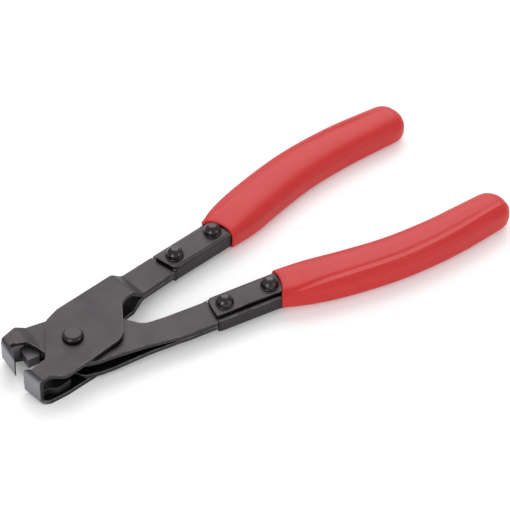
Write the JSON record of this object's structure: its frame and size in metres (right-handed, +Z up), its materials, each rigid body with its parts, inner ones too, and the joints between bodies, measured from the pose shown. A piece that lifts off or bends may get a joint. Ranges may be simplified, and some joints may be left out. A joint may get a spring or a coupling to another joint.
{
  "type": "tile nippers",
  "caption": "Hand pincers with two hollow jaws of folded steel plate on one pivot pin, riveted channel handles and long bowed vinyl grips.",
  "frame": {"origin": "on the pivot's axis, at the back face of the outer jaw, which lies on the table", "axes": "+X from the pivot along the tool's middle line to the handle tips, +Z up out of the front face, +Y across the handles towards the outer lever's handle"},
  "size_m": [0.2413, 0.0996, 0.0167],
  "materials": {
    "blackened_plate": "black-oxidised sheet steel, satin, with worn edges",
    "bright_steel": "ground steel, lightly oxidised",
    "pin_steel": "turned and blackened steel, semi-bright",
    "rivet_steel": "blackened steel, polished by the riveting tool",
    "red_vinyl": "dipped red vinyl, soft satin gloss"
  },
  "bodies": {
    "outer_lever": {"outer_jaw_shell": "blackened_plate", "jaw_packer": "bright_steel", "pivot_pin": "pin_steel", "upper_handle_channel": "blackened_plate", "upper_front_rivet": "rivet_steel", "upper_rear_rivet": "rivet_steel", "upper_grip": "red_vinyl"},
    "inner_lever": {"inner_jaw_shell": "blackened_plate", "centre_anvil": "bright_steel", "anvil_rivet": "bright_steel", "lower_handle_channel": "blackened_plate", "lower_front_rivet": "rivet_steel", "lower_rear_rivet": "rivet_steel", "lower_grip": "red_vinyl"}
  },
  "joints": [
    {"name": "lever_pivot", "type": "hinge", "parent": "outer_lever", "child": "inner_lever", "pos_m": [0, 0, 0.00705], "axis": [0, 0, 1], "range_deg": [-12, 14]}
  ]
}
